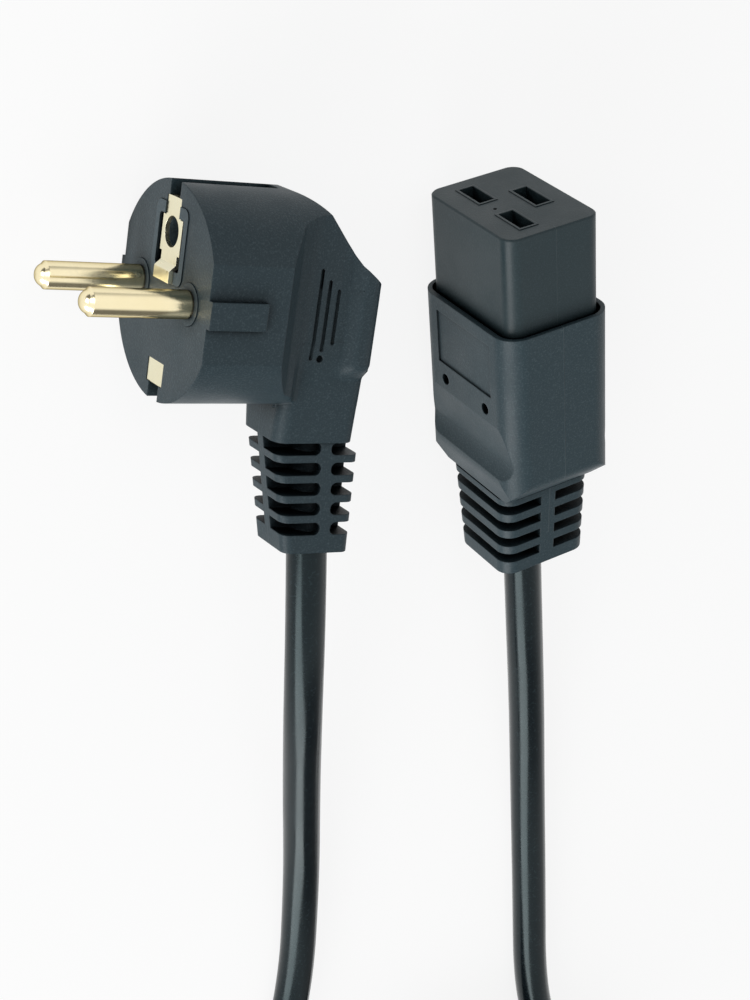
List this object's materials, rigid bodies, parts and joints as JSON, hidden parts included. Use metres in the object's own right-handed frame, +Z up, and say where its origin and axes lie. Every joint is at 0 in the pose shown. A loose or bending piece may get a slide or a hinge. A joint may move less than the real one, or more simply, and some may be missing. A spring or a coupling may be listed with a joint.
{
  "type": "mains power cord",
  "caption": "Mains cord set with a right-angled earthed two-pin plug at one end, a straight three-slot appliance connector at the other and a coiled round black cable between them.",
  "frame": {"origin": "on the ground under the middle of the box round the plug and the connector", "axes": "+Z up, with plug and connector lying on their sides; pins point towards -X, both cables leave towards -Y"},
  "size_m": [0.1107, 0.3203, 0.0358],
  "materials": {
    "moulding": "fine moulded grain, satin black",
    "carrier": "dark grey hard plastic, satin",
    "pin_metal": "bright nickel plate, slightly warm",
    "strip_metal": "nickel plated sheet, satin",
    "copper": "bare copper strands",
    "core_line": "brown core insulation",
    "core_neutral": "blue core insulation",
    "core_earth": "green and yellow core insulation",
    "jacket": "smooth black cable jacket with a soft gloss"
  },
  "bodies": {
    "root": {"connector_cable_end": "jacket", "connector_contact_earth": "strip_metal", "connector_contact_line": "strip_metal", "connector_contact_neutral": "strip_metal", "connector_core_earth": "core_earth", "connector_core_line": "core_line", "connector_core_neutral": "core_neutral", "connector_insert": "moulding", "connector_overmould": "moulding", "connector_strand_earth": "copper", "connector_strand_line": "copper", "connector_strand_neutral": "copper", "cord_coil": "jacket", "cord_connector_side": "jacket", "cord_plug_side": "jacket", "plug_cable_end": "jacket", "plug_contact_carrier": "carrier", "plug_core_earth": "core_earth", "plug_core_line": "core_line", "plug_core_neutral": "core_neutral", "plug_earth_spring": "strip_metal", "plug_earth_strip": "strip_metal", "plug_overmould": "moulding", "plug_pin_line": "pin_metal", "plug_pin_neutral": "pin_metal", "plug_strand_earth": "copper", "plug_strand_line": "copper", "plug_strand_neutral": "copper"}
  },
  "joints": []
}
